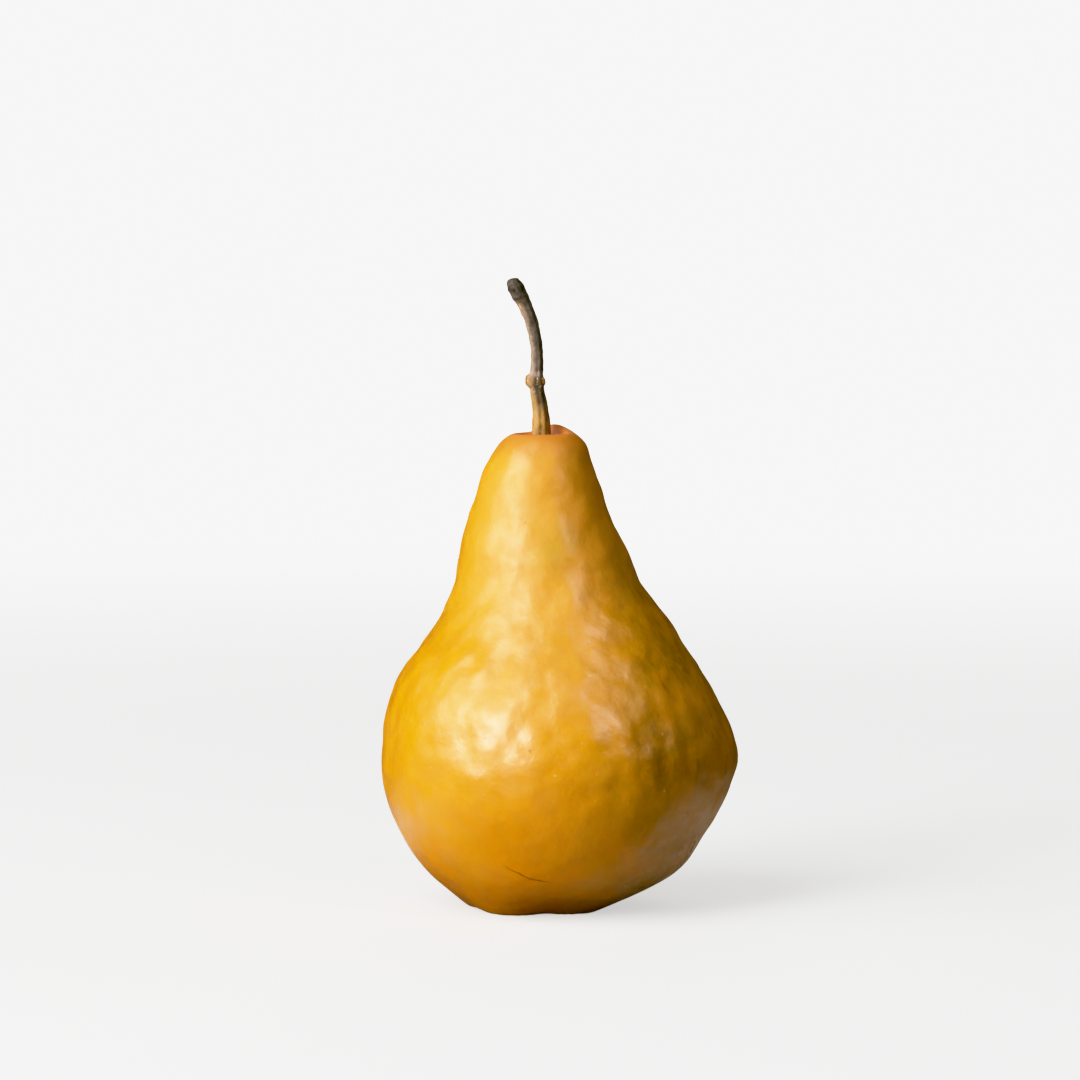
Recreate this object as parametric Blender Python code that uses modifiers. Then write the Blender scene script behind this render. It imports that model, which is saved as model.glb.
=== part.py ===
"""A ripe pear standing on its base: the fruit, its woody stem, and the dried flower in its eye.

Run it with blender --background --python part.py, or from Blender's text editor.
Units are metres with +Z up. The table is at z = 0, and the origin is under the middle of the fruit.
+X is the fuller side of the belly, and -Y is the front.
"""

import math

import bmesh
import bpy
import numpy as np
from mathutils import Matrix, Vector

MM = 0.001

# Fruit. Each row is one level of the outline in millimetres: height, half the width, and how far its middle
# lies to the right (+X) of the origin. The fruit is fuller on its right, and its neck leans left.
HOLLOW = (  # the hollow round the stem, from the middle of its floor to its wall
    (94.8, 0.0, -3.8),
    (94.8, 3.0, -3.8),
    (96.6, 3.9, -3.8),
)
OUTLINE = (  # rim of the hollow, down the neck, over the belly and in to the foot
    (98.8, 5.6, -3.6),
    (96.9, 8.8, -3.6),
    (92.0, 11.2, -4.2),
    (83.0, 14.2, -4.0),
    (75.0, 17.2, -3.3),
    (67.4, 19.6, -2.3),
    (59.3, 24.3, -1.2),
    (50.5, 30.5, -1.6),
    (42.5, 34.7, -1.0),
    (33.0, 37.0, 0.0),
    (23.5, 35.5, -0.7),
    (15.0, 31.3, -1.4),
    (8.0, 25.9, -2.1),
    (2.4, 19.0, -3.2),
)
FOOT_AND_BASIN = (  # the foot that the fruit stands on, then the basin round the eye
    (-0.4, 14.4, -4.2),
    (-0.4, 12.0, -4.2),
    (1.6, 8.9, -4.0),
    (4.4, 5.6, -3.8),
    (5.9, 3.2, -3.8),
    (6.0, 0.0, -3.8),
)
DEPTH_RATIO = 0.972  # front to back, the fruit is a little slimmer than side to side
RIM_SWELL = (1.7, 62.0, 5.0)  # the rim's high shoulder: height, azimuth in degrees, and how narrow it is
CARPELS = 5  # the fruit has five seed chambers, which show as five soft lobes round the eye
FIRST_LOBE = 240.0  # azimuth of the first lobe, in degrees
LOBE_DEPTH = 0.9  # how far the foot rises between two lobes
LOBE_REACH = 18.0  # the lobes fade out at this height
FOOT_SET_BACK = (1.3, 300.0)  # the foot is this much narrower towards this azimuth, in degrees
HEEL = (1.9, 345.0, 7.0)  # a swelling low on the right: how far it stands out, its azimuth and its height
SEGMENTS = 60  # round the fruit
SPLITS = 2  # rings for each row of the outline

# Stem. Each row is a place on its middle line and the radius there, from its foot up to its twig end.
STEM = (
    (-3.9, -0.1, 95.15, 2.25),
    (-3.75, -0.1, 97.6, 2.0),
    (-3.75, 0.0, 101.0, 1.85),
    (-3.95, 0.1, 104.0, 1.65),
    (-4.5, 0.1, 107.2, 1.55),
    (-4.8, 0.1, 109.6, 2.0),
    (-4.7, 0.0, 111.4, 1.45),
    (-4.6, -0.2, 114.3, 1.3),
    (-4.95, -0.5, 118.2, 1.3),
    (-5.85, -0.9, 122.0, 1.35),
    (-7.2, -1.4, 125.4, 1.45),
    (-8.4, -1.8, 127.7, 1.6),
    (-9.2, -2.0, 129.4, 1.65),
    (-9.65, -2.1, 130.6, 1.2),
)
STEM_SPLITS = 3  # rings for each row of the stem
STEM_BEVEL = 6  # sixteen sides

# Dried flower in the eye.
SEPAL_LENGTH = 5.2
SEPAL_WIDTH = 3.0
SEPAL_THICKNESS = 0.5
SEPAL_CURL = 62.0  # degrees that a sepal bends outwards from root to tip
SEPAL_SPLAY = 12.0  # degrees that its root leans outwards
SEPAL_ROOT = (2.5, 5.4)  # the root's distance from the middle of the eye, and its height
SEPAL_GRID = (3, 8)  # faces across a sepal and along it
TUFT = ((1.1, 5.5), (1.3, 4.5), (1.6, 2.9), (1.2, 2.2), (0.0, 2.0))  # radius and height, down its outer side
TUFT_STEPS = 20

SKIN = ("skin", (0.72, 0.42, 0.045), 0.42)
WOOD = ("stem_wood", (0.20, 0.13, 0.075), 0.75)
DRIED = ("dried_flower", (0.085, 0.050, 0.028), 0.85)

EYE_X = FOOT_AND_BASIN[-1][2]  # the middle of the eye; its y is 0


def clear_scene():
    for item in list(bpy.data.objects):
        bpy.data.objects.remove(item, do_unlink=True)


def material(name, colour, roughness):
    """A plain Principled material."""
    made = bpy.data.materials.new(name)
    made.use_nodes = True
    shader = made.node_tree.nodes["Principled BSDF"]
    shader.inputs["Base Color"].default_value = (*colour, 1.0)
    shader.inputs["Roughness"].default_value = roughness
    shader.inputs["Metallic"].default_value = 0.0
    return made


def new_object(name, data, collection, finish):
    """An object in the pear's collection, with its material."""
    made = bpy.data.objects.new(name, data)
    data.materials.clear()
    data.materials.append(finish)
    collection.objects.link(made)
    return made


def smooth_line(rows, splits):
    """The rows themselves, and splits - 1 points between each two, on a Catmull-Rom curve through them."""
    points = np.array(rows, float)
    ends = np.vstack([2 * points[0] - points[1], points, 2 * points[-1] - points[-2]])
    t = (np.arange(splits) / splits)[:, None]
    spans = [
        b + 0.5 * ((c - a) * t + (2 * a - 5 * b + 4 * c - d) * t**2 + (3 * b - a - 3 * c + d) * t**3)
        for a, b, c, d in zip(ends, ends[1:], ends[2:], ends[3:])
    ]
    return np.vstack([*spans, points[-1:]])


def fade(value, start, end):
    """0 before start and 1 after end, with a smooth step between; start may be the larger."""
    t = min(1.0, max(0.0, (value - start) / (end - start)))
    return t * t * (3 - 2 * t)


def flesh_point(azimuth, height, reach, middle):
    """A point of the fruit, in millimetres: an oval level with the rim's shoulder, the lobes and foot."""
    lobes = 0.5 - 0.5 * math.cos(CARPELS * (azimuth - math.radians(FIRST_LOBE)))
    near_eye = fade(height, LOBE_REACH, 0.0) * fade(reach, 5.0, 12.0)
    on_foot = fade(height, 5.0, 0.5) * fade(reach, 5.0, 12.0)
    set_back, narrowest = FOOT_SET_BACK
    on_rim = fade(height, 90.0, 98.0) * fade(reach, 3.5, 5.5)
    swell, highest, narrowness = RIM_SWELL
    shoulder = math.exp(narrowness * (math.cos(azimuth - math.radians(highest)) - 1.0))
    heel, outermost, heel_height = HEEL
    swelling = math.exp(3.0 * (math.cos(azimuth - math.radians(outermost)) - 1.0))
    swelling *= math.exp(-(((height - heel_height) / 6.0) ** 2)) * fade(reach, 5.0, 14.0)
    reach += heel * swelling
    reach -= on_foot * set_back * max(0.0, math.cos(azimuth - math.radians(narrowest))) ** 2
    height += near_eye * LOBE_DEPTH * lobes
    height += on_rim * swell * shoulder
    return (
        middle + reach * math.cos(azimuth),
        DEPTH_RATIO * reach * math.sin(azimuth),
        max(0.0, height),
    )


def fruit(collection, finish):
    """Flesh and skin in one piece: a sphere whose rings are drawn out to the outline's levels."""
    rings = smooth_line(HOLLOW + OUTLINE + FOOT_AND_BASIN, SPLITS)
    spans = len(rings) - 1
    flesh = bmesh.new()
    bmesh.ops.create_uvsphere(flesh, u_segments=SEGMENTS, v_segments=spans, radius=1.0)
    for vertex in flesh.verts:
        polar = math.acos(max(-1.0, min(1.0, vertex.co.z)))
        azimuth = math.atan2(vertex.co.y, vertex.co.x)
        vertex.co = Vector(flesh_point(azimuth, *rings[round(polar / math.pi * spans)])) * MM
    data = bpy.data.meshes.new("fruit")
    flesh.to_mesh(data)
    flesh.free()
    data.shade_smooth()
    new_object("fruit", data, collection, finish)


def stem(collection, finish):
    """The stalk: a bevelled curve, thick at its foot, at the ring of bud scars and at the twig end."""
    line = bpy.data.curves.new("stem", "CURVE")
    line.dimensions = "3D"
    line.bevel_depth = MM
    line.bevel_resolution = STEM_BEVEL
    line.use_fill_caps = True
    rings = smooth_line(STEM, STEM_SPLITS)
    path = line.splines.new("POLY")
    path.points.add(len(rings) - 1)
    for point, (x, y, z, radius) in zip(path.points, rings):
        point.co = (x * MM, y * MM, z * MM, 1.0)
        point.radius = radius
    new_object("stem", line, collection, finish)


def sepal_blade():
    """One dried sepal, rooted at the origin and hanging down -Z: a pointed blade that curls towards +X."""
    columns, rows = SEPAL_GRID
    blade = bmesh.new()
    bmesh.ops.create_grid(blade, x_segments=columns, y_segments=rows, size=0.5)
    curl = math.radians(SEPAL_CURL)
    radius = SEPAL_LENGTH / curl
    for vertex in blade.verts:
        across, along = vertex.co.x, vertex.co.y + 0.5
        width = SEPAL_WIDTH * (1.0 - 0.86 * along**1.6)
        vertex.co = Vector(
            (radius * (1 - math.cos(curl * along)), across * width, -radius * math.sin(curl * along))
        ) * MM
    data = bpy.data.meshes.new("sepal")
    blade.to_mesh(data)
    blade.free()
    data.shade_smooth()
    return data


def sepals(collection, finish):
    """Five dried sepals round the eye, one opposite each gap between two lobes."""
    data = sepal_blade()
    root_reach, root_height = SEPAL_ROOT
    for number in range(CARPELS):
        azimuth = math.radians(FIRST_LOBE + (number + 0.5) * 360.0 / CARPELS)
        made = new_object(f"sepal_{number + 1}", data, collection, finish)
        place = Vector((EYE_X + root_reach * math.cos(azimuth), root_reach * math.sin(azimuth), root_height))
        lean = Matrix.Rotation(math.radians(-SEPAL_SPLAY), 4, "Y")
        made.matrix_world = Matrix.Translation(place * MM) @ Matrix.Rotation(azimuth, 4, "Z") @ lean
        thick = made.modifiers.new("thickness", "SOLIDIFY")
        thick.thickness = SEPAL_THICKNESS * MM
        thick.offset = 0.0


def stamens(collection, finish):
    """The dried stamens and styles, as one small turned tuft in the eye."""
    data = bpy.data.meshes.new("stamens")
    points = [(radius * MM, 0.0, height * MM) for radius, height in ((0.0, TUFT[0][1]), *TUFT)]
    data.from_pydata(points, [(i, i + 1) for i in range(len(points) - 1)], [])
    made = new_object("stamens", data, collection, finish)
    made.location = (EYE_X * MM, 0.0, 0.0)
    turned = made.modifiers.new("turned", "SCREW")
    turned.steps = TUFT_STEPS
    turned.render_steps = TUFT_STEPS
    turned.use_merge_vertices = True
    turned.merge_threshold = 0.00001
    turned.use_smooth_shade = True


def main():
    clear_scene()
    pear = bpy.data.collections.new("pear")
    bpy.context.scene.collection.children.link(pear)
    skin, wood, dried = (material(*finish) for finish in (SKIN, WOOD, DRIED))
    fruit(pear, skin)
    stem(pear, wood)
    sepals(pear, dried)
    stamens(pear, dried)


main()
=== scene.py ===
"""The finished look of a ripe pear: lumpy satin skin, a woody stem with bud scars, and a dried flower.

Every piece is a surface worked out with numpy in millimetres and laid down in metres. The pear stands on
z = 0, +X is the fuller side of its belly, and -Y is the front.
"""
import itertools
import math

import bpy
import numpy as np
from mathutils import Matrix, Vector


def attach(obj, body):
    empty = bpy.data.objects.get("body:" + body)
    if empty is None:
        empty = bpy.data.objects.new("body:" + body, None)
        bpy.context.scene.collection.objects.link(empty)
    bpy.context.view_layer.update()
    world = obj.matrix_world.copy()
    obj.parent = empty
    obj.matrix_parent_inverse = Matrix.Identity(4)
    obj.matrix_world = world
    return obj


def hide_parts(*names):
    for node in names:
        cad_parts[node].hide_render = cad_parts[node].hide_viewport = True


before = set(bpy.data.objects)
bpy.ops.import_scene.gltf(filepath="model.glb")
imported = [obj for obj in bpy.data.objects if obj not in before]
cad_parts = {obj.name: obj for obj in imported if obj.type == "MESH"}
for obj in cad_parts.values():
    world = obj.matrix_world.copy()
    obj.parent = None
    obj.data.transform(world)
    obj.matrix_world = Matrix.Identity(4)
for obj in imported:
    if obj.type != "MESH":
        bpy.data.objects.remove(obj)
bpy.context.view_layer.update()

MM = 0.001

# ------------------------------------------------------------------ sizes, in millimetres

# Each row is one level of the fruit: height, half the width, and how far its middle lies to the right.
HOLLOW = (
    (94.8, 0.0, -3.8),
    (94.8, 3.0, -3.8),
    (96.6, 3.9, -3.8),
)
OUTLINE = (
    (98.8, 5.6, -3.6),
    (96.9, 8.8, -3.6),
    (92.0, 11.2, -4.2),
    (83.0, 14.2, -4.0),
    (75.0, 17.2, -3.3),
    (67.4, 19.6, -2.3),
    (59.3, 24.3, -1.2),
    (50.5, 30.5, -1.6),
    (42.5, 34.7, -1.0),
    (33.0, 37.0, 0.0),
    (23.5, 35.5, -0.7),
    (15.0, 31.3, -1.4),
    (8.0, 25.9, -2.1),
    (2.4, 19.0, -3.2),
)
FOOT_AND_BASIN = (
    (-0.4, 14.4, -4.2),
    (-0.4, 12.0, -4.2),
    (1.6, 8.9, -4.0),
    (4.4, 5.6, -3.8),
    (5.9, 3.2, -3.8),
    (6.0, 0.0, -3.8),
)
DEPTH_RATIO = 0.972  # front to back, the fruit is a little slimmer than side to side
RIM_SWELL = (1.7, 62.0, 5.0)  # the rim's high shoulder: height, azimuth in degrees, and how narrow it is
CARPELS = 5  # the seed chambers, which show as five soft lobes round the eye
FIRST_LOBE = 240.0  # azimuth of the first lobe, in degrees
LOBE_DEPTH = 0.9  # how far the foot rises between two lobes
LOBE_REACH = 18.0  # the lobes fade out at this height
FOOT_SET_BACK = (1.3, 300.0)  # the foot is this much narrower towards this azimuth
HEEL = (1.9, 345.0, 7.0)  # a swelling low on the right: how far it stands out, its azimuth and its height
HEEL_SHARPNESS, HEEL_SPREAD = 3.0, 6.0  # round the fruit, and up and down
EYE_X = FOOT_AND_BASIN[-1][2]  # the middle of the eye; its y is 0
RINGS = 234  # levels of the finished skin
SEGMENTS = 400  # points round each level

# The skin's random relief, in layers: how high, how wide a lump or dimple is, and the seed.
LUMPS = ((0.22, 24.0, 11), (0.20, 13.0, 12))
DIMPLES = ((0.24, 6.5, 13), (0.17, 4.0, 14), (0.04, 2.3, 15))
DIMPLES_LOW = (0.35, 14.0, 36.0)  # this much of them is left below the first height; all above the second
FOLDS = (0.10, 32)  # upright folds on the right of the belly: how high, and how many there would be all round
FOLDS_PLACE = (305.0, 18.0, 37.0, 13.0)  # their azimuth and sharpness, and their height and spread
FOLDS_WAVER = (0.14, 16.0, 16)  # one layer of noise turns them a little to either side
RIBS = (0.10, 22.0, 16.0)  # the lobes carry on up the belly as ribs: how high, and their height and spread

# Low swellings and hollows on the front of the neck and belly: place, how wide and how high.
SWELLINGS = (
    ((1.0, -14.5, 79.5), 3.2, 0.32),
    ((2.5, -18.0, 68.5), 3.4, 0.32),
    ((7.0, -22.0, 61.0), 3.6, 0.26),
    ((11.0, -31.0, 41.0), 5.5, 0.24),
    ((-1.5, -33.0, 44.0), 2.6, 0.22),
    ((-14.0, -31.5, 42.0), 4.0, 0.18),
    ((-13.0, -28.5, 50.0), 3.4, -0.26),
    ((-4.8, -33.5, 43.5), 2.2, -0.16),
    ((-12.0, -20.0, 61.0), 4.0, 0.20),
)

# Each row is a place on the stem's middle line and the radius there.
STEM = (
    (-3.9, -0.1, 95.15, 2.20),
    (-3.75, -0.1, 97.6, 1.95),
    (-3.75, 0.0, 101.0, 1.80),
    (-3.95, 0.1, 104.0, 1.60),
    (-4.5, 0.1, 107.2, 1.48),
    (-4.8, 0.1, 109.6, 1.45),
    (-4.7, 0.0, 111.4, 1.32),
    (-4.6, -0.2, 114.3, 1.26),
    (-4.95, -0.5, 118.2, 1.27),
    (-5.85, -0.9, 122.0, 1.32),
    (-7.2, -1.4, 125.4, 1.42),
    (-8.4, -1.8, 127.7, 1.60),
    (-9.2, -2.0, 129.4, 1.62),
    (-9.7, -2.1, 130.5, 1.20),
    (-9.8, -2.1, 130.85, 0.45),
)
STEM_RINGS, STEM_SIDES = 240, 72
# The stem's two bud scars: azimuth, sharpness, height, half of how tall they are, and how far they stand out.
BUD_SCARS = ((190.0, 3.0, 109.75, 1.15, 0.95), (350.0, 4.0, 109.55, 1.0, 0.5))
KNOTS = ((0.12, 1.8, 21), (0.05, 0.8, 22))  # its random knots, in layers like the skin's
STEM_WAVER = (0.25, 3.0, 23)  # one layer makes the edges of its marks waver

SEPAL_LENGTH = 5.0
SEPAL_WIDTH = 2.8
SEPAL_THICKNESS = 0.35
SEPAL_CURL = 62.0  # degrees that a sepal bends outwards from root to tip
SEPAL_SPLAY = 12.0  # degrees that its root leans outwards
SEPAL_ROOT = (2.5, 5.4)  # the root's distance from the middle of the eye, and its height
SEPAL_CUP = 0.5  # how far the edges of its root stand back
SEPAL_WRINKLES = (0.18, 1.2, 31)
SEPAL_GRID = (28, 15)  # points along a sepal and across it

STAMENS = 18
STAMEN_SEED = 41
STAMEN_FOOT = 5.4  # the height that the stamens hang from
STAMEN_TIPS = (2.1, 3.4)  # the heights that their tips reach down to
STAMEN_RADIUS, STAMEN_SWELL = 0.10, 0.16
STAMEN_RINGS, STAMEN_SIDES = 12, 8

# ------------------------------------------------------------------ tints, and where they lie in millimetres

GOLD = (0.87, 0.372, 0.003)
ORANGE = (0.94, 0.360, 0.001)
YELLOW = (0.87, 0.393, 0.012)
OLIVE = (0.55, 0.285, 0.002)
GREEN = (0.68, 0.400, 0.004)
BROWN = (0.30, 0.150, 0.002)
RUSSET = (0.42, 0.19, 0.075)
BLUSH = (0.72, 0.262, 0.022)
RIM = (0.80, 0.28, 0.075)
PALE = (0.90, 0.62, 0.26)
RUST = (0.45, 0.130, 0.008)
PEACH = (1.0, 0.68, 0.84)  # the skin's gloss

# Each is the height, or the distance to the right, where a change of tint or gloss starts and is full.
ORANGE_BELOW = (34.0, 8.0)
YELLOW_ABOVE = (52.0, 80.0)
BLUSH_ABOVE = (92.0, 98.5)
DULL_ABOVE = (56.0, 72.0)
# Olive mottling on the right side, in part painted shade of the side turned from the light. It weakens again
# near the right edge.
OLIVE_AND_SHADE_RIGHT = (0.0, 20.0)
OLIVE_AND_SHADE_EDGE = (24.0, 33.0)  # where the olive weakens again
# Brown streaks on the right, in part painted shade in upright creases.
STREAKS_AND_SHADE_RIGHT = (8.0, 20.0)
STREAKS_ABOVE = (20.0, 34.0)
STREAKS_DRAWN_OUT = (1.0, 1.0, 0.2)  # the skin's streaks run upwards

# Soft round patches: place, inner radius and outer radius.
GREEN_PATCH = {"Centre": (-2.5, -16.0, 76.5), "Inner": 1.0, "Outer": 9.0}
# A patch of painted shade on the right of the belly, where the skin is tinted brown.
PAINTED_SHADE_PATCH = {"Centre": (19.0, -29.0, 36.0), "Inner": 2.0, "Outer": 12.0}
GLOSSY_PATCH = {"Centre": (21.0, -20.0, 14.0), "Inner": 6.0, "Outer": 22.0}

# Small marks on the front of the fruit: place, radius and tint.
MARKS = (
    ((-6.0, -35.0, 36.8), 0.50, RUST),
    ((-15.0, -32.0, 39.0), 0.35, RUST),
    ((-30.0, -19.0, 40.0), 0.35, RUST),
    ((-8.0, -14.0, 82.0), 0.45, BROWN),
    ((-7.0, -14.0, 81.0), 0.40, BROWN),
    ((-1.0, -36.0, 32.0), 0.30, PALE),
    ((11.0, -34.0, 29.0), 0.30, PALE),
    ((21.0, -29.0, 28.0), 0.30, PALE),
    ((6.0, -28.0, 51.0), 0.45, PALE),
    ((23.0, -27.0, 36.0), 0.50, BROWN),
)

# Spots where the wax is dull or polished: place, radius, and how much is left of it, from 0 to 1.
WAX_SPOTS = (
    ((-13.0, -28.5, 50.0), 4.2, 0.0),
    ((-4.8, -34.0, 41.5), 2.4, 0.0),
    ((-4.8, -32.5, 45.5), 2.4, 0.0),
    ((1.5, -14.5, 79.5), 3.0, 0.8),
    ((3.5, -18.0, 67.5), 3.4, 0.9),
    ((8.0, -22.0, 60.0), 3.6, 0.8),
)
SATIN = (0.48, 0.38)  # the skin's roughness, from its duller to its shinier patches
NECK_DULLER = 0.14  # how much more it is on the neck
PATCH_GLOSSIER = 0.16  # how much less it is in the glossy patch
SPOT_DULLER = 0.10  # how much more it is where a spot has no wax
WAX_ROUGHNESS = 0.36
SKIN_RELIEF, BARK_RELIEF, DRIED_RELIEF = 0.10, 0.12, 0.10  # how deep the fine relief is

# The hairline scar: the middle and radius of its arc, where it fades in and out from left to right, half its
# width from clear skin to full tint, and the height that it stays below.
SCAR_CENTRE, SCAR_RADIUS = (2.5, 0.0, 32.7), 24.9
SCAR_START, SCAR_END = (-11.8, -9.8), (-0.5, -4.0)
SCAR_WIDTH = (0.22, 0.06)
SCAR_BELOW = 20.0

# The stem is ochre and brown below its bud scars, and grey-brown above. Each pair is the tint above, then the
# tint below.
BARK = ((0.20, 0.145, 0.115), (0.50, 0.27, 0.065))
BARK_STREAKS = ((0.070, 0.058, 0.050), (0.22, 0.115, 0.045))
# The paler tints of painted light on the stem's left side, towards the lamps.
BARK_LIT_SIDE = ((0.52, 0.36, 0.26), (0.66, 0.37, 0.12))
# Painted shade on the stem's right side, below its bud scars.
BARK_PAINTED_SHADE = (0.055, 0.042, 0.034)
BARK_END = (0.115, 0.090, 0.072)
BARK_BLOBS = (0.040, 0.034, 0.030)
BARK_FURROW = (0.045, 0.028, 0.016)
BUD_SCAR = (0.62, 0.33, 0.075)
BUD_RING = (0.72, 0.50, 0.42)
BUD_FLECKS = (0.82, 0.55, 0.40)
STEM_SPECK = (0.85, 0.50, 0.25)
STEM_SPECK_PATCH = {"Centre": (-8.1, -2.6, 125.2), "Inner": 0.3, "Outer": 0.8}
BARK_DRAWN_OUT = (1.0, 1.0, 0.22)  # the bark's streaks run along the stem
DRIED = ((0.05, 0.028, 0.015), (0.20, 0.12, 0.06))

# ------------------------------------------------------------------ stage

FLOOR_HALF = 4.0  # metres from its middle to its edge; the floor's other places are in millimetres
FLOOR_TONE = 0.55  # how pale the floor looks
FLOOR_BOUNCE, FLOOR_UNDER = (0.252, 0.56), (20.0, 65.0)  # how much light it throws up, near and away
FLOOR_SHADE, FLOOR_RIGHT = 0.32, (8.0, 50.0)  # how much of that light is left on the right of the pear
FLOOR_MIRRORED, FLOOR_FRONT = (0.04, 0.78), (-31.0, -23.0)  # how pale it is in the gloss, front and beside
MIRRORED_FADE = (55.0, 140.0)  # in the gloss it turns dark between these distances
LEFT_OF_FOOT, MIRRORED_DARK = (-15.0, 0.0, 0.0), (16.0, 50.0)  # and it is dark round here too
FLOOR_FADE = (250.0, 1100.0)  # between these distances it turns into the white background
FLOOR_GLOW = 0.60  # its own light, where it is seen
ROOM = 0.03  # how bright the room is that the pear reflects and is lit by
BACKGROUND = 1.3

WHITE_LIGHT = (1.0, 1.0, 1.0)
# Each row: name, azimuth, elevation, width and height, watts, colour, and what it lights: the skin's colour,
# its gloss, or both.
LIGHTS = (
    ("low_key", -44.0, 18.0, (0.56, 0.60), 13.0, WHITE_LIGHT, "both"),
    ("high_key", -42.0, 48.0, (0.60, 0.70), 6.5, WHITE_LIGHT, "both"),
    ("window", -50.0, 22.0, (0.34, 0.46), 5.0, PEACH, "gloss"),
    ("left", -78.0, 28.0, (0.5, 0.8), 4.5, WHITE_LIGHT, "both"),
    ("top", -20.0, 78.0, (0.8, 0.8), 1.0, WHITE_LIGHT, "both"),
    ("strip", 40.0, 40.0, (0.18, 0.80), 1.6, WHITE_LIGHT, "both"),
    ("panel", 44.0, 42.0, (0.34, 0.72), 3.0, WHITE_LIGHT, "gloss"),
    ("right_fill", 118.0, 16.0, (0.8, 0.8), 2.2, WHITE_LIGHT, "colour"),
    ("back_fill", 185.0, 35.0, (0.9, 0.9), 3.5, WHITE_LIGHT, "colour"),
)
LIGHT_DISTANCE = 1.3
LIT_POINT = (0.0, 0.0, 0.05)

CAMERA_AIM = (-0.0040, 0.0, 0.0766)
CAMERA_RISE = 4.0  # degrees above level
CAMERA_DISTANCE = 0.80
CAMERA_LENS = 128.3

TOE = 0.03  # shadows darker than this are made deeper
SHOULDER = 0.6  # highlights brighter than this ease off
WHITE = 2.2  # the brightness that shows as white
WARM_SHADOWS = 0.015  # how much blue the shadows lose

# ------------------------------------------------------------------ tools for shapes


def smooth_line(rows, count, steps=40):
    """count rows evenly spaced along the Catmull-Rom curve through the given rows, which is first worked out
    in small steps."""
    points = np.array(rows, float)
    ends = np.vstack([2 * points[0] - points[1], points, 2 * points[-1] - points[-2]])
    t = (np.arange(steps) / steps)[:, None]
    spans = [
        b + 0.5 * ((c - a) * t + (2 * a - 5 * b + 4 * c - d) * t**2 + (3 * b - a - 3 * c + d) * t**3)
        for a, b, c, d in zip(ends, ends[1:], ends[2:], ends[3:])
    ]
    fine = np.vstack([*spans, points[-1:]])
    along = np.append(0.0, np.cumsum(np.linalg.norm(np.diff(fine[:, :-1], axis=0), axis=1)))
    wanted = np.linspace(0.0, along[-1], count)
    return np.column_stack([np.interp(wanted, along, column) for column in fine.T])


def fade(value, start, end):
    """0 before start and 1 after end, with a smooth step between; start may be the larger."""
    t = np.clip((value - start) / (end - start), 0.0, 1.0)
    return t * t * (3 - 2 * t)


def bump(offset, spread):
    """A bell: 1 where offset is 0, and nearly nothing beyond twice the spread."""
    return np.exp(-((offset / spread) ** 2))


def turned_bump(azimuth, towards, sharpness):
    """A bell round a circle: 1 where azimuth is towards, in degrees."""
    return np.exp(sharpness * (np.cos(azimuth - math.radians(towards)) - 1))


def noise(points, cell, seed, corners=32):
    """Random hills and hollows about cell wide, from about -1 to 1: a random slope at each corner of a
    lattice of cubes, blended across the cube that a point is in."""
    slopes = np.random.default_rng(seed).normal(size=(corners, corners, corners, 3))
    slopes /= np.linalg.norm(slopes, axis=-1, keepdims=True)
    place = points / cell
    corner = np.floor(place).astype(int)
    inside = place - corner
    blend = inside**3 * (inside * (6 * inside - 15) + 10)
    total = np.zeros(points.shape[:-1])
    for shift in itertools.product((0, 1), repeat=3):
        i, j, k = np.moveaxis((corner + shift) % corners, -1, 0)
        weight = np.prod(np.where(shift, blend, 1 - blend), axis=-1)
        total += weight * ((inside - shift) * slopes[i, j, k]).sum(axis=-1)
    return 1.6 * total


def hills(points, *layers):
    """Noise in layers: each layer is how high it is, how wide its cells are, and its seed."""
    return sum(high * noise(points, cell, seed) for high, cell, seed in layers)


def outward(grid):
    """Unit normals of a grid whose rows run down the piece and whose columns run round it."""
    down = np.gradient(grid, axis=0)
    across = np.roll(grid, -1, axis=1) - np.roll(grid, 1, axis=1)
    normal = np.cross(down, across)
    return normal / (np.linalg.norm(normal, axis=-1, keepdims=True) + 1e-9)


def closed_tube(grid):
    """Points and faces of a grid that closes round its columns, with a point in the middle of each end."""
    rows, columns = grid.shape[:2]
    index = np.arange(rows * columns).reshape(rows, columns)
    beside = np.roll(index, -1, axis=1)
    sides = np.stack([index[:-1], index[1:], beside[1:], beside[:-1]], axis=-1).reshape(-1, 4)
    top, bottom = rows * columns, rows * columns + 1
    first = np.stack([np.full(columns, top), index[0], beside[0]], axis=-1)
    last = np.stack([np.full(columns, bottom), beside[-1], index[-1]], axis=-1)
    points = np.vstack([grid.reshape(-1, 3), grid[0].mean(axis=0), grid[-1].mean(axis=0)])
    return points, [*sides.tolist(), *first.tolist(), *last.tolist()]


def sheet_grid(grid):
    """Points and faces of an open grid."""
    rows, columns = grid.shape[:2]
    index = np.arange(rows * columns).reshape(rows, columns)
    faces = np.stack([index[:-1, :-1], index[1:, :-1], index[1:, 1:], index[:-1, 1:]], axis=-1)
    return grid.reshape(-1, 3), faces.reshape(-1, 4).tolist()


def joined(parts):
    """One set of points and faces from several."""
    points, faces, start = [], [], 0
    for part_points, part_faces in parts:
        points.append(part_points)
        faces += [[start + corner for corner in face] for face in part_faces]
        start += len(part_points)
    return np.vstack(points), faces


def new_piece(name, points, faces, material, slot, *nodes, **marks):
    """A smooth-shaded mesh object in metres, riding on the root and standing for the given CAD nodes. Each
    mark is a number for every point, kept as an attribute."""
    mesh = bpy.data.meshes.new(name)
    mesh.from_pydata((points * MM).tolist(), [], faces)
    mesh.shade_smooth()
    for mark, values in marks.items():
        mesh.attributes.new(mark, "FLOAT", "POINT").data.foreach_set("value", values.astype(np.float32))
    mesh.materials.append(material)
    piece = bpy.data.objects.new(name, mesh)
    bpy.context.scene.collection.objects.link(piece)
    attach(piece, "root")
    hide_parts(*nodes)
    return piece


# ------------------------------------------------------------------ tools for materials


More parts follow.
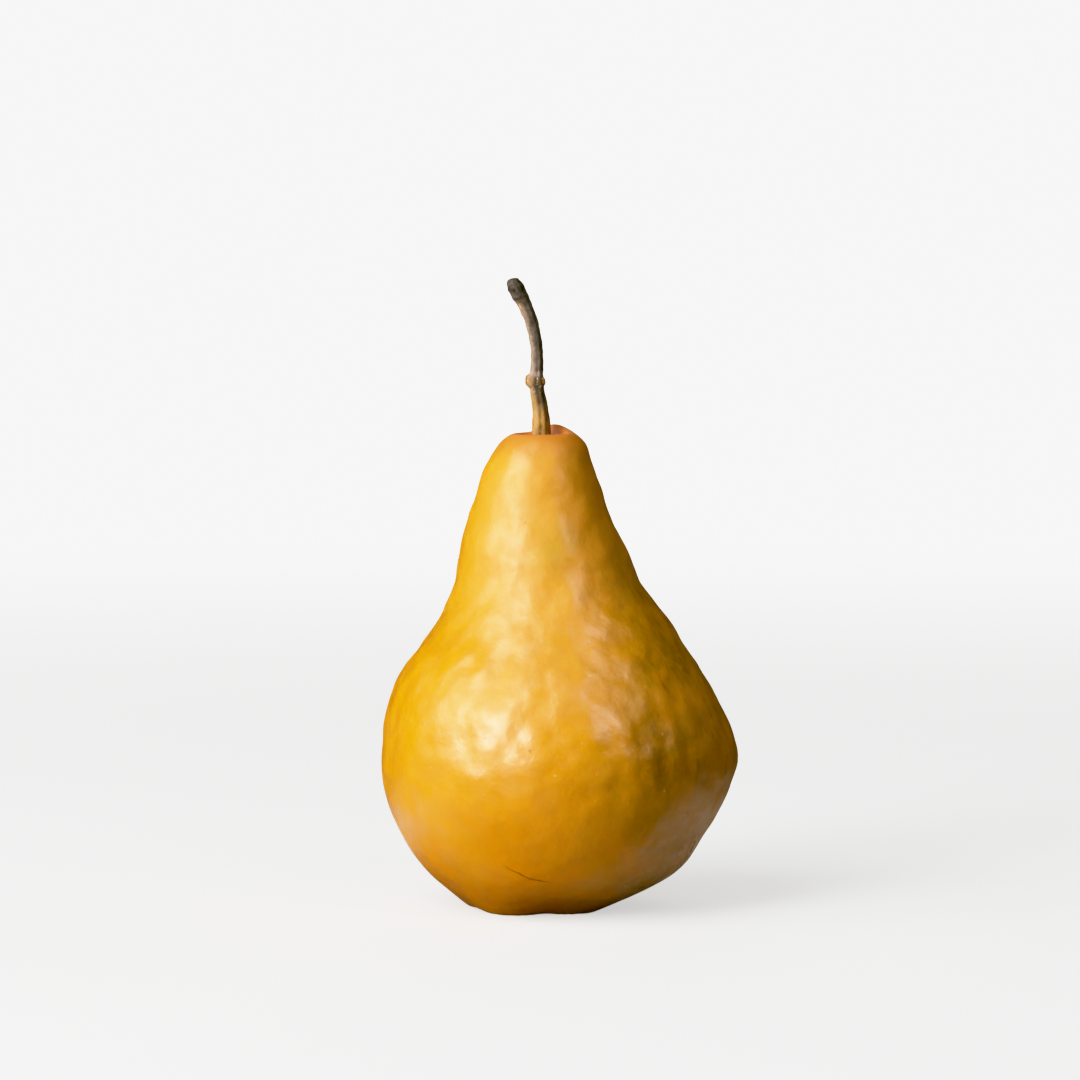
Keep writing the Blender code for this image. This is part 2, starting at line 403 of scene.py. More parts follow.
def put(tree, kind, inputs=None, **settings):
    """A shader node with its settings and inputs, which are numbers, colours or other nodes' sockets."""
    made = tree.nodes.new("ShaderNode" + kind)
    for name, value in settings.items():
        setattr(made, name, value)
    for name, value in (inputs or {}).items():
        if isinstance(value, bpy.types.NodeSocket):
            tree.links.new(value, made.inputs[name])
        else:
            made.inputs[name].default_value = value
    return made


def maths(tree, operation, first, second=0.0):
    """One sum on numbers or sockets."""
    return put(tree, "Math", {0: first, 1: second}, operation=operation).outputs[0]


def times(tree, first, *others):
    """The first number times each of the others in turn."""
    for other in others:
        first = maths(tree, "MULTIPLY", first, other)
    return first


def blend_colours(tree, amount, first, second):
    """Colour mixed from first towards second. Sockets 6 and 7 of the node are its two colours."""
    colours = {
        key: (*value, 1.0) if isinstance(value, tuple) else value for key, value in ((6, first), (7, second))
    }
    return put(tree, "Mix", {0: amount, **colours}, data_type="RGBA").outputs[2]


def tinted(tree, colour, mask, amount, tint):
    """The colour, with this amount of the tint where the mask is 1."""
    return blend_colours(tree, times(tree, mask, amount), colour, tint)


def ramp(tree, value, start, end, low=0.0, high=1.0):
    """Smooth step from low to high as value goes from start to end."""
    inputs = {"Value": value, "From Min": start, "From Max": end, "To Min": low, "To Max": high}
    return put(tree, "MapRange", inputs, interpolation_type="SMOOTHSTEP").outputs[0]


def between(tree, amount, first, second):
    """A number that goes from first to second as the amount goes from 0 to 1."""
    return put(tree, "MapRange", {"Value": amount, "To Min": first, "To Max": second}).outputs[0]


def apart(tree, first, second):
    """The distance between two places."""
    return put(tree, "VectorMath", {0: first, 1: second}, operation="DISTANCE").outputs["Value"]


def drawn_out(tree, position, factors):
    """The position with each axis times its own factor. A small factor draws a pattern out along its axis."""
    return put(tree, "VectorMath", {0: position, 1: factors}, operation="MULTIPLY").outputs[0]


def grain(tree, position, scale, detail):
    """Plain noise, with about scale hills to a millimetre."""
    return put(tree, "TexNoise", {"Vector": position, "Scale": scale, "Detail": detail}).outputs[0]


def new_group(name, inputs, outputs):
    """An empty node group with float or vector sockets, and its inner ends."""
    tree = bpy.data.node_groups.new(name, "ShaderNodeTree")
    for socket, (kind, value) in inputs.items():
        made = tree.interface.new_socket(socket, in_out="INPUT", socket_type=kind)
        if value is not None:
            made.default_value = value
    for socket, kind in outputs.items():
        tree.interface.new_socket(socket, in_out="OUTPUT", socket_type=kind)
    return tree, tree.nodes.new("NodeGroupInput").outputs, tree.nodes.new("NodeGroupOutput").inputs


def mottle_group():
    """Soft-edged patches about Size across: noise pushed apart between Low and High."""
    tree, given, result = new_group(
        "mottle",
        {
            "Position": ("NodeSocketVector", None),
            "Size": ("NodeSocketFloat", 5.0),
            "Detail": ("NodeSocketFloat", 3.0),
            "Low": ("NodeSocketFloat", 0.4),
            "High": ("NodeSocketFloat", 0.6),
        },
        {"Mask": "NodeSocketFloat"},
    )
    patches = grain(tree, given["Position"], maths(tree, "DIVIDE", 1.0, given["Size"]), given["Detail"])
    tree.links.new(ramp(tree, patches, given["Low"], given["High"]), result["Mask"])
    return tree


def speckle_group():
    """Round dots of a given Radius, about Spacing apart, of which only the Share is drawn."""
    tree, given, result = new_group(
        "speckle",
        {
            "Position": ("NodeSocketVector", None),
            "Spacing": ("NodeSocketFloat", 3.0),
            "Radius": ("NodeSocketFloat", 0.3),
            "Share": ("NodeSocketFloat", 0.5),
        },
        {"Mask": "NodeSocketFloat"},
    )
    scale = maths(tree, "DIVIDE", 1.0, given["Spacing"])
    cells = put(tree, "TexVoronoi", {"Vector": given["Position"], "Scale": scale, "Randomness": 1.0})
    reach = times(tree, cells.outputs["Distance"], given["Spacing"])
    chance = put(tree, "SeparateColor", {0: cells.outputs["Color"]}).outputs
    size = times(tree, given["Radius"], maths(tree, "ADD", 0.6, times(tree, chance[1], 0.8)))
    dot = ramp(tree, reach, size, times(tree, size, 0.45))
    drawn = maths(tree, "LESS_THAN", chance[0], given["Share"])
    tree.links.new(times(tree, dot, drawn), result["Mask"])
    return tree


def patch_group():
    """A soft round patch: 1 within Inner of Centre, falling to 0 at Outer."""
    tree, given, result = new_group(
        "patch",
        {
            "Position": ("NodeSocketVector", None),
            "Centre": ("NodeSocketVector", None),
            "Inner": ("NodeSocketFloat", 0.5),
            "Outer": ("NodeSocketFloat", 1.0),
        },
        {"Mask": "NodeSocketFloat"},
    )
    away = apart(tree, given["Position"], given["Centre"])
    tree.links.new(ramp(tree, away, given["Outer"], given["Inner"]), result["Mask"])
    return tree


def scar_group():
    """A hairline arc on the front of the belly: the places whose distance from the arc's centre, seen from
    the front, is nearly its radius. A little noise makes it waver, and it fades in and out at its ends."""
    inputs, outputs = {"Position": ("NodeSocketVector", None)}, {"Mask": "NodeSocketFloat"}
    tree, given, result = new_group("scar", inputs, outputs)
    flat = drawn_out(tree, given["Position"], (1.0, 0.0, 1.0))
    reach = maths(tree, "ADD", apart(tree, flat, SCAR_CENTRE), grain(tree, given["Position"], 0.4, 2.0))
    line = ramp(tree, maths(tree, "ABSOLUTE", maths(tree, "SUBTRACT", reach, SCAR_RADIUS)), *SCAR_WIDTH)
    axes = put(tree, "SeparateXYZ", {0: given["Position"]}).outputs
    start = ramp(tree, axes["X"], *SCAR_START)
    end = ramp(tree, axes["X"], *SCAR_END)
    front = maths(tree, "LESS_THAN", axes["Y"], 0.0)
    low = maths(tree, "LESS_THAN", axes["Z"], SCAR_BELOW)
    tree.links.new(times(tree, line, start, end, front, low), result["Mask"])
    return tree


MOTTLE, SPECKLE, PATCH, SCAR = mottle_group(), speckle_group(), patch_group(), scar_group()


def attribute(tree, name):
    """One of a piece's own marks, as a mask."""
    return put(tree, "Attribute", attribute_name=name).outputs["Fac"]


def effect(tree, group, position, **values):
    """One use of an effect group, at a position in millimetres; returns its mask."""
    placed = put(tree, "Group", node_tree=group)
    tree.links.new(position, placed.inputs["Position"])
    for name, value in values.items():
        placed.inputs[name].default_value = value
    return placed.outputs["Mask"]


def new_material(name):
    """An empty material with its shader, and the place on the piece in millimetres."""
    material = bpy.data.materials.new(name)
    material.use_nodes = True
    tree = material.node_tree
    tree.nodes.clear()
    shader = tree.nodes.new("ShaderNodeBsdfPrincipled")
    output = tree.nodes.new("ShaderNodeOutputMaterial")
    tree.links.new(shader.outputs[0], output.inputs[0])
    place = put(tree, "TexCoord").outputs["Object"]
    position = put(tree, "VectorMath", {0: place, "Scale": 1 / MM}, operation="SCALE").outputs[0]
    return material, tree, shader, position


def relief(tree, shader, height, distance):
    """Fine relief: height from 0 to 1 over distance millimetres. Returns the normal that it gives."""
    bumped = put(tree, "Bump", {"Height": height, "Distance": distance * MM}).outputs[0]
    tree.links.new(bumped, shader.inputs["Normal"])
    return bumped


# ------------------------------------------------------------------ finishes


def skin_colour(tree, position, axes, neck, pores):
    """Gold that turns orange low down, with yellow patches and an olive cast above. On the right are olive
    mottling and brown streaks that are in part painted shade, and a brown patch of painted shade. There is
    russet at the stem and the eye, pale pores, a few specks and marks, and one hairline scar."""
    across, height = axes["X"], axes["Z"]
    colour = blend_colours(tree, ramp(tree, height, *ORANGE_BELOW), GOLD, ORANGE)
    colour = blend_colours(tree, ramp(tree, height, *YELLOW_ABOVE, 0.0, 0.5), colour, YELLOW)
    green = effect(tree, PATCH, position, **GREEN_PATCH)
    green = times(tree, green, effect(tree, MOTTLE, position, Size=5.0, Low=0.3, High=0.55))
    colour = tinted(tree, colour, green, 0.8, GREEN)
    yellow = effect(tree, MOTTLE, position, Size=13.0, Low=0.46, High=0.64)
    colour = tinted(tree, colour, yellow, 0.55, YELLOW)
    orange = effect(tree, MOTTLE, position, Size=6.0, Low=0.50, High=0.68)
    colour = tinted(tree, colour, orange, 0.40, ORANGE)
    # Olive mottling on the right: the skin's own tone, and in part painted shade of the belly's darker side.
    right = times(tree, ramp(tree, across, *OLIVE_AND_SHADE_RIGHT), ramp(tree, across, *OLIVE_AND_SHADE_EDGE, 1.0, 0.5))
    olive = times(tree, effect(tree, MOTTLE, position, Size=12.0, Low=0.32, High=0.60), right)
    colour = tinted(tree, colour, olive, 0.75, OLIVE)
    # Painted shade: a soft brown patch on the right of the belly.
    colour = tinted(tree, colour, effect(tree, PATCH, position, **PAINTED_SHADE_PATCH), 0.5, BROWN)
    # Brown streaks on the right: streaky skin, and in part painted shade in upright creases.
    streaks = drawn_out(tree, position, STREAKS_DRAWN_OUT)
    streaks = effect(tree, MOTTLE, streaks, Size=3.2, Detail=2.0, Low=0.50, High=0.66)
    streaks = times(tree, streaks, ramp(tree, across, *STREAKS_AND_SHADE_RIGHT), ramp(tree, height, *STREAKS_ABOVE))
    colour = tinted(tree, colour, streaks, 0.45, BROWN)
    fine = effect(tree, MOTTLE, position, Size=1.6, Detail=4.0, Low=0.35, High=0.75)
    colour = tinted(tree, colour, fine, 0.26, ORANGE)
    flecked = effect(tree, MOTTLE, position, Size=2.4, Detail=2.0, Low=0.50, High=0.68)
    colour = tinted(tree, colour, flecked, 0.35, YELLOW)
    colour = tinted(tree, colour, neck, 0.75, BLUSH)
    colour = tinted(tree, colour, attribute(tree, "rim"), 0.9, RIM)
    for name in ("hollow", "eye"):
        colour = blend_colours(tree, attribute(tree, name), colour, RUSSET)
    colour = tinted(tree, colour, pores, 0.4, PALE)
    specks = effect(tree, SPECKLE, position, Spacing=9.0, Radius=0.35, Share=0.35)
    colour = tinted(tree, colour, specks, 0.6, RUSSET)
    for place, radius, tint in MARKS:
        mark = effect(tree, PATCH, position, Centre=place, Inner=0.2 * radius, Outer=1.3 * radius)
        colour = tinted(tree, colour, mark, 0.6, tint)
    return tinted(tree, colour, effect(tree, SCAR, position), 0.85, RUST)


def skin_gloss(tree, position, axes, neck):
    """Roughness and the weight of the wax: both vary in patches, the neck is duller, a patch low on the right
    is glossier, and the wax has its own spots."""
    satin = effect(tree, MOTTLE, position, Size=7.0, Detail=2.0, Low=0.38, High=0.62)
    dull = maths(tree, "MAXIMUM", neck, ramp(tree, axes["Z"], *DULL_ABOVE, 0.0, 0.8))
    rough = maths(tree, "ADD", ramp(tree, satin, 0.0, 1.0, *SATIN), times(tree, dull, NECK_DULLER))
    glossy = effect(tree, PATCH, position, **GLOSSY_PATCH)
    rough = maths(tree, "SUBTRACT", rough, times(tree, glossy, PATCH_GLOSSIER))
    wax = effect(tree, MOTTLE, position, Size=4.5, Detail=2.5, Low=0.32, High=0.70)
    wax = times(tree, wax, maths(tree, "SUBTRACT", 1.0, times(tree, dull, 0.7)))
    for place, radius, left in WAX_SPOTS:
        spot = effect(tree, PATCH, position, Centre=place, Inner=0.4 * radius, Outer=1.5 * radius)
        wax = between(tree, spot, wax, left)
        rough = maths(tree, "ADD", rough, times(tree, spot, SPOT_DULLER * (1.0 - left)))
    return rough, wax


def skin_material():
    """The fruit's skin: satin and waxy, finely pebbled, with a little light passing through it."""
    material, tree, shader, position = new_material("pear_skin")
    axes = put(tree, "SeparateXYZ", {0: position}).outputs
    neck = ramp(tree, axes["Z"], *BLUSH_ABOVE)
    pores = effect(tree, SPECKLE, position, Spacing=3.4, Radius=0.28, Share=0.55)
    rough, wax = skin_gloss(tree, position, axes, neck)
    tree.links.new(skin_colour(tree, position, axes, neck, pores), shader.inputs["Base Color"])
    tree.links.new(rough, shader.inputs["Roughness"])
    tree.links.new(wax, shader.inputs["Coat Weight"])
    shader.inputs["Coat Roughness"].default_value = WAX_ROUGHNESS
    pebbles, fine = grain(tree, position, 0.45, 2.0), grain(tree, position, 1.4, 2.0)
    raised = maths(tree, "ADD", pebbles, times(tree, fine, 0.22))
    raised = maths(tree, "ADD", raised, times(tree, pores, 0.15))
    tree.links.new(relief(tree, shader, raised, SKIN_RELIEF), shader.inputs["Coat Normal"])
    shader.inputs["Specular IOR Level"].default_value = 1.0
    shader.inputs["Specular Tint"].default_value = (*PEACH, 1.0)
    shader.inputs["Subsurface Weight"].default_value = 0.12
    shader.inputs["Subsurface Radius"].default_value = (1.0, 0.45, 0.12)
    shader.inputs["Subsurface Scale"].default_value = 2.5 * MM
    return material


def wood_material():
    """Stem bark: streaked, paler on its left side as painted light, dark in the furrows. The bud scars are
    ochre with paler flecks, with a pale ring above them and a patch of painted shade below on the right, and
    the twig end is dark and blotched."""
    material, tree, shader, position = new_material("stem_bark")
    height = put(tree, "SeparateXYZ", {0: position}).outputs["Z"]
    lower = ramp(tree, height, 112.0, 104.5)
    colour = blend_colours(tree, lower, *BARK)
    streaks = drawn_out(tree, position, BARK_DRAWN_OUT)
    streaks = effect(tree, MOTTLE, streaks, Size=0.8, Low=0.40, High=0.62)
    colour = tinted(tree, colour, streaks, 0.7, blend_colours(tree, lower, *BARK_STREAKS))
    # Painted light: the stem's left side, towards the lamps, made paler.
    colour = tinted(tree, colour, attribute(tree, "tan"), 0.8, blend_colours(tree, lower, *BARK_LIT_SIDE))
    # Painted shade on the right of the stem, below the bud scars.
    colour = tinted(tree, colour, attribute(tree, "shade"), 0.85, BARK_PAINTED_SHADE)
    colour = tinted(tree, colour, ramp(tree, height, 125.5, 128.0), 0.8, BARK_END)
    blobs = effect(tree, MOTTLE, position, Size=1.5, Low=0.47, High=0.60)
    colour = tinted(tree, colour, times(tree, blobs, ramp(tree, height, 125.0, 127.5)), 0.7, BARK_BLOBS)
    colour = tinted(tree, colour, attribute(tree, "scar"), 0.85, BUD_SCAR)
    colour = tinted(tree, colour, attribute(tree, "ring"), 0.8, BUD_RING)
    flecks = effect(tree, MOTTLE, position, Size=0.7, Low=0.56, High=0.70)
    near_scars = times(tree, ramp(tree, height, 105.5, 108.0), ramp(tree, height, 112.5, 110.5))
    colour = blend_colours(tree, times(tree, flecks, near_scars), colour, BUD_FLECKS)
    colour = tinted(tree, colour, effect(tree, PATCH, position, **STEM_SPECK_PATCH), 0.8, STEM_SPECK)
    colour = tinted(tree, colour, attribute(tree, "furrow"), 0.6, BARK_FURROW)
    tree.links.new(colour, shader.inputs["Base Color"])
    shader.inputs["Roughness"].default_value = 0.7
    relief(tree, shader, grain(tree, position, 3.0, 5.0), BARK_RELIEF)
    return material


def dried_material():
    """Dried sepals and stamens: dark brown with paler patches."""
    material, tree, shader, position = new_material("dried_flower")
    patches = effect(tree, MOTTLE, position, Size=1.0, Low=0.4, High=0.65)
    tree.links.new(blend_colours(tree, patches, *DRIED), shader.inputs["Base Color"])
    shader.inputs["Roughness"].default_value = 0.85
    relief(tree, shader, grain(tree, position, 4.0, 4.0), DRIED_RELIEF)
    return material


# ------------------------------------------------------------------ the fruit


def plain_flesh():
    """The fruit before its relief: every level is an oval of its own width round its own middle. The rim
    swells up on one side, near the eye five lobes stand down to the table, and the heel stands out low on the
    right. Returns the grid, the azimuth of its columns and the half width of its rows."""
    rows = smooth_line(HOLLOW + OUTLINE + FOOT_AND_BASIN, RINGS)
    height, reach, middle = (column[1:-1, None] for column in rows.T)
    azimuth = (np.arange(SEGMENTS) / SEGMENTS * math.tau)[None, :]
    lobes = 0.5 - 0.5 * np.cos(CARPELS * (azimuth - math.radians(FIRST_LOBE)))
    near_eye = fade(height, LOBE_REACH, 0.0) * fade(reach, 5.0, 12.0)
    on_foot = fade(height, 5.0, 0.5) * fade(reach, 5.0, 12.0)
    on_rim = fade(height, 90.0, 98.0) * fade(reach, 3.5, 5.5)
    set_back, narrowest = FOOT_SET_BACK
    swell, highest, narrowness = RIM_SWELL
    narrowing = np.maximum(0.0, np.cos(azimuth - math.radians(narrowest))) ** 2
    heel, outermost, heel_height = HEEL
    heel = heel * turned_bump(azimuth, outermost, HEEL_SHARPNESS) * bump(height - heel_height, HEEL_SPREAD)
    heel = heel * fade(reach, 5.0, 14.0)
    reach = reach - on_foot * set_back * narrowing + heel
    shoulder = turned_bump(azimuth, highest, narrowness)
    height = height + near_eye * LOBE_DEPTH * lobes + on_rim * swell * shoulder
    x = middle + reach * np.cos(azimuth)
    y = DEPTH_RATIO * reach * np.sin(azimuth)
    return np.stack([x, y, height], axis=-1), azimuth, rows[1:-1, 1][:, None]


def flesh_relief(grid, azimuth):
    """How far the skin stands out from the plain shape: broad lumps, hammered dimples, upright folds on the
    right of the belly, the lobes' ribs, and the low swellings. It dies out at the foot and at the rim."""
    height = grid[..., 2]
    left, low, high = DIMPLES_LOW
    dimples = hills(grid, *DIMPLES) * (left + (1 - left) * fade(height, low, high))
    folded, number = FOLDS
    towards, sharpness, level, spread = FOLDS_PLACE
    turned = azimuth + hills(grid, FOLDS_WAVER)
    folds = np.cos(number * turned) * turned_bump(azimuth, towards, sharpness) * bump(height - level, spread)
    ribbed, level, spread = RIBS
    ribs = np.cos(CARPELS * (azimuth - math.radians(FIRST_LOBE))) * bump(height - level, spread)
    swellings = sum(
        rise * bump(np.linalg.norm(grid - np.array(place), axis=-1), wide) for place, wide, rise in SWELLINGS
    )
    free = fade(height, 0.5, 6.0) * fade(height, 100.5, 96.0)
    return free * (hills(grid, *LUMPS) + dimples + folded * folds + ribbed * ribs + swellings)


def make_fruit(material):
    """The fruit, closed at both ends, marked where its rim, its hollow and its eye are."""
    grid, azimuth, reach = plain_flesh()
    grid += outward(grid) * flesh_relief(grid, azimuth)[..., None]
    grid[..., 2] = np.maximum(grid[..., 2], 0.0)
    points, faces = closed_tube(grid)
    reach = np.broadcast_to(reach, grid.shape[:2])
    top = fade(grid[..., 2], 94.0, 96.0)
    rim = top * fade(reach, 8.0, 5.6)
    hollow = top * fade(reach, 5.0, 3.4)
    eye = fade(grid[..., 2], 8.0, 3.0) * fade(reach, 11.0, 6.0)
    marks = {
        "rim": np.append(rim, (1.0, 0.0)),
        "hollow": np.append(hollow, (1.0, 0.0)),
        "eye": np.append(eye, (0.0, 1.0)),
    }
    new_piece("pear_fruit", points, faces, material, "skin", "fruit", **marks)


# ------------------------------------------------------------------ the stem


def carried(line, radii, around):
    """A tube: rings of points carried along a line, each square to it. radii has a row for every place on the
    line and a column for every angle in around. The line runs upwards, and the grid's rows run down it."""
    tangent = np.gradient(line, axis=0)
    tangent /= np.linalg.norm(tangent, axis=1, keepdims=True)
    side = np.cross([0.0, 1.0, 0.0], tangent)
    side /= np.linalg.norm(side, axis=1, keepdims=True)
    back = np.cross(tangent, side)
    ring = side[:, None] * np.cos(around)[None, :, None] + back[:, None] * np.sin(around)[None, :, None]
    return (line[:, None] + radii[..., None] * ring)[::-1]


def make_stem(material):
    """The stalk: a tube whose radius follows the stem's rows, with ridges along it, two blunt bud scars, and
    a rough end. A scar's bulge is the exponential of minus the fourth power of the height from its middle."""
    rows = smooth_line(STEM, STEM_RINGS)
    line, radius = rows[:, :3], rows[:, 3:]
    around = np.arange(STEM_SIDES) / STEM_SIDES * math.tau
    height = line[:, 2:]
    ridges = 0.05 * np.cos(5 * around + 0.05 * height) + 0.03 * np.cos(9 * around - 0.09 * height + 1.0)
    plain = carried(line, radius + 0 * ridges, around)[::-1]
    knots = hills(plain, *KNOTS) * (1 + 1.5 * fade(height, 126.0, 128.5))
    waver = hills(plain, STEM_WAVER)
    radii, scars = radius * (1 + ridges), 0.0
    for towards, sharpness, middle, half, proud in BUD_SCARS:
        scar = turned_bump(around, towards, sharpness) * np.exp(-(((height - middle) / half) ** 4))
        radii = radii + proud * scar
        scars = scars + 1.3 * scar
    # Painted light on the stem's left side, which faces the lamps.
    tan = fade(np.cos(around - math.radians(195.0)) + waver, 0.35, 0.85) * fade(height, 128.5, 125.0)
    # Painted shade on the stem's right side, below the bud scars.
    shade = turned_bump(around, 300.0, 2.2) * fade(height + 3 * waver, 103.0, 105.5)
    shade = shade * fade(height, 111.0, 110.2)
    marks = {
        "furrow": (fade(ridges + knots, 0.0, -0.16), 0.6),
        "tan": (tan, 0.0),
        "scar": (np.clip(scars + waver, 0.0, 1.0) * bump(height - 109.7, 1.5), 0.0),
        "ring": (turned_bump(around, 305.0, 0.8) * bump(height - 111.25 - 0.6 * waver, 0.55), 0.0),
        "shade": (shade, 0.0),
    }
    marks = {name: np.append(values[::-1], (at_ends, at_ends)) for name, (values, at_ends) in marks.items()}
    points, faces = closed_tube(carried(line, radii + knots, around))
    new_piece("pear_stem", points, faces, material, "stem_wood", "stem", **marks)


# ------------------------------------------------------------------ the dried flower


def sepal(number):
    """One sepal's grid: a pointed blade, cupped at its root, that curls outwards on an arc as it hangs down
    from the eye. It leans outwards, and faces away from the eye between two lobes."""
    along = np.linspace(0.0, 1.0, SEPAL_GRID[0])[:, None]
    across = np.linspace(-0.5, 0.5, SEPAL_GRID[1])[None, :]
    curl, lean = math.radians(SEPAL_CURL), math.radians(SEPAL_SPLAY)
    bend = curl * along * (1 + 0.1 * math.sin(3.0 * number))
    out = SEPAL_LENGTH / curl * (1 - np.cos(bend)) - SEPAL_CUP * (2 * across) ** 2 * (1 - along)
    down = SEPAL_LENGTH / curl * np.sin(bend)
    wide = SEPAL_WIDTH * across * (1 - 0.9 * along**1.5)
    blade = np.stack([out + 0 * wide, wide, -down + 0 * wide], axis=-1)
    blade[..., 0] += hills(blade + 10 * number, SEPAL_WRINKLES)
    out, wide, up = np.moveaxis(blade, -1, 0)
    reach = out * math.cos(lean) - up * math.sin(lean) + SEPAL_ROOT[0]
    height = up * math.cos(lean) + out * math.sin(lean) + SEPAL_ROOT[1]
    azimuth = math.radians(FIRST_LOBE + (number + 0.5) * 360.0 / CARPELS)
    x = EYE_X + reach * math.cos(azimuth) - wide * math.sin(azimuth)
    y = reach * math.sin(azimuth) + wide * math.cos(azimuth)
    return np.stack([x, y, height], axis=-1)


def make_sepals(material):
    """Five dried sepals round the eye, given their thickness evenly on both sides."""
    for number in range(CARPELS):
        points, faces = sheet_grid(sepal(number))
        name = f"pear_sepal_{number + 1}"
        piece = new_piece(name, points, faces, material, "dried_flower", f"sepal_{number + 1}")
        thick = piece.modifiers.new("thickness", "SOLIDIFY")
        thick.thickness = SEPAL_THICKNESS * MM
        thick.offset = 0.0


def make_stamens(material):
    """The dried stamens: a tuft of thin threads that bend as they hang, each swollen near its tip."""
    along = np.linspace(0.0, 1.0, STAMEN_RINGS)
    around = np.arange(STAMEN_SIDES) / STAMEN_SIDES * math.tau
    radii = STAMEN_RADIUS + STAMEN_SWELL * bump(along - 0.92, 0.12)
    radii = np.repeat(radii[::-1, None], STAMEN_SIDES, axis=1)
    draw = np.random.default_rng(STAMEN_SEED)
    parts = []
    for number in range(STAMENS):
        azimuth = math.tau * number / STAMENS + draw.uniform(-0.15, 0.15)
        root, tip = draw.uniform(0.3, 1.0), draw.uniform(0.3, 1.4)
        reach = root + (tip - root) * along**1.5
        low = draw.uniform(*STAMEN_TIPS)
        swirl = azimuth + draw.uniform(-0.6, 0.6) * along
        height = low + (STAMEN_FOOT - low) * (1 - along)
        line = np.stack([EYE_X + reach * np.cos(swirl), reach * np.sin(swirl), height], axis=-1)[::-1]
        parts.append(closed_tube(carried(line, radii, around)))
    points, faces = joined(parts)
    new_piece("pear_stamens", points, faces, material, "dried_flower", "stamens")


make_fruit(skin_material())
make_stem(wood_material())
dried = dried_material()
make_sepals(dried)
make_stamens(dried)

# ------------------------------------------------------------------ stage, light and camera


def make_floor():
    """A pale floor that fades to the brightness of the background away from the pear, so that no horizon
    shows. It looks paler than it is in the light that it throws up and in the skin's gloss, which have tones
    of their own."""
    mesh = bpy.data.meshes.new("floor")
    corners = [(x * FLOOR_HALF, y * FLOOR_HALF, 0.0) for x, y in ((-1, -1), (1, -1), (1, 1), (-1, 1))]
    mesh.from_pydata(corners, [], [(0, 1, 2, 3)])
    floor = bpy.data.objects.new("floor", mesh)
    bpy.context.scene.collection.objects.link(floor)
    material, tree, shader, position = new_material("floor")
    away = put(tree, "VectorMath", {0: position}, operation="LENGTH").outputs["Value"]
    from_foot = apart(tree, position, LEFT_OF_FOOT)
    axes = put(tree, "SeparateXYZ", {0: position}).outputs
    rays = put(tree, "LightPath").outputs
    seen = rays["Is Camera Ray"]
    bounce = ramp(tree, away, *FLOOR_UNDER, *FLOOR_BOUNCE)
    bounce = times(tree, bounce, ramp(tree, axes["X"], *FLOOR_RIGHT, 1.0, FLOOR_SHADE))
    tone = between(tree, seen, bounce, FLOOR_TONE)
    mirrored = ramp(tree, axes["Y"], *FLOOR_FRONT, *FLOOR_MIRRORED)
    mirrored = times(tree, mirrored, ramp(tree, away, *MIRRORED_FADE, 1.0, 0.1))
    mirrored = times(tree, mirrored, ramp(tree, from_foot, *MIRRORED_DARK, 0.15, 1.0))
    tone = between(tree, rays["Is Glossy Ray"], tone, mirrored)
    tone = times(tree, tone, ramp(tree, away, *FLOOR_FADE, 1.0, 0.0))
    tree.links.new(tone, shader.inputs["Base Color"])
    glow = times(tree, seen, ramp(tree, away, *FLOOR_FADE, FLOOR_GLOW, BACKGROUND))
    tree.links.new(glow, shader.inputs["Emission Strength"])
    shader.inputs["Roughness"].default_value = 0.9
    shader.inputs["Specular IOR Level"].default_value = 0.0
    shader.inputs["Emission Color"].default_value = (1.0, 1.0, 1.0, 1.0)
    mesh.materials.append(material)


def facing(name, data, azimuth, elevation, distance, target):
    """A light or camera at this distance from its target, turned to face it."""
    made = bpy.data.objects.new(name, data)
    bpy.context.scene.collection.objects.link(made)
    turn, rise = math.radians(azimuth), math.radians(elevation)
    towards = Vector((math.sin(turn) * math.cos(rise), -math.cos(turn) * math.cos(rise), math.sin(rise)))
    made.location = Vector(target) + towards * distance
    made.rotation_euler = towards.to_track_quat("Z", "Y").to_euler()
    return made


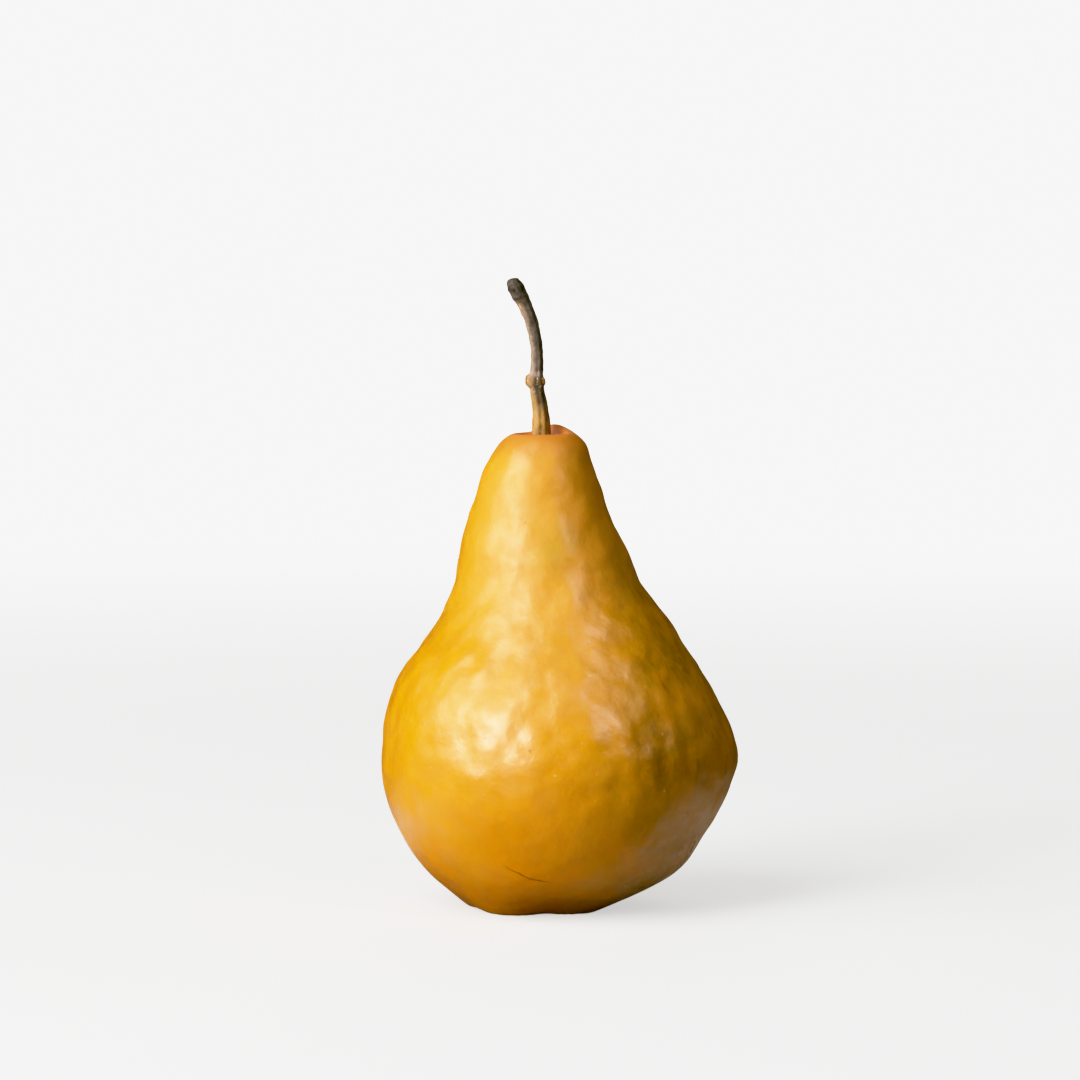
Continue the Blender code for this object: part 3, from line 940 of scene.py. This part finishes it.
def soft_light(name, azimuth, elevation, size, watts, colour, lights_up):
    """A soft rectangular light. Azimuth 0 is the camera's side of the pear, and it turns to the right."""
    data = bpy.data.lights.new(name, "AREA")
    data.shape = "RECTANGLE"
    data.size, data.size_y = size
    data.energy = watts
    data.color = colour
    light = facing(name, data, azimuth, elevation, LIGHT_DISTANCE, LIT_POINT)
    light.visible_camera = False
    light.visible_glossy = lights_up != "colour"
    light.visible_diffuse = lights_up != "gloss"


def make_world():
    """White behind the pear, and a dim room for what the skin reflects and is lit by."""
    world = bpy.data.worlds.new("studio")
    bpy.context.scene.world = world
    world.use_nodes = True
    tree = world.node_tree
    tree.nodes.clear()
    seen = put(tree, "LightPath").outputs["Is Camera Ray"]
    strength = between(tree, seen, ROOM, BACKGROUND)
    back = put(tree, "Background", {"Color": (1.0, 1.0, 1.0, 1.0), "Strength": strength})
    out = put(tree, "OutputWorld")
    tree.links.new(back.outputs[0], out.inputs[0])


def make_camera():
    """A long lens a little above the pear, looking slightly down at it from the front."""
    data = bpy.data.cameras.new("camera")
    data.sensor_width = 36.0
    data.lens = CAMERA_LENS
    data.clip_start = 0.01
    bpy.context.scene.camera = facing("camera", data, 0.0, CAMERA_RISE, CAMERA_DISTANCE, CAMERA_AIM)


def soft_highlights():
    """A film's response: nearly even in the middle, deeper below TOE, and easing to white above SHOULDER."""
    view = bpy.context.scene.view_settings
    view.view_transform = "Standard"
    view.use_curve_mapping = True
    mapping = view.curve_mapping
    mapping.white_level = (WHITE, WHITE, WHITE)
    mapping.black_level = (0.0, 0.0, WARM_SHADOWS)
    curve = mapping.curves[3]
    levels = np.concatenate([[0.0], TOE * 2.0 ** np.arange(-2, 4), np.linspace(SHOULDER, WHITE, 8)])
    deeper = levels**2 / (levels + TOE)
    above = np.maximum(deeper - SHOULDER, 0.0) / (1 - SHOULDER)
    shown = np.minimum(deeper, SHOULDER) + (1 - SHOULDER) * (1 - np.exp(-above))
    curve.points[0].location = (0.0, 0.0)
    curve.points[-1].location = (1.0, shown[-1])
    for level, value in zip(levels[1:-1], shown[1:-1]):
        curve.points.new(level / WHITE, value)
    mapping.update()


make_floor()
for light in LIGHTS:
    soft_light(*light)
make_world()
make_camera()
soft_highlights()
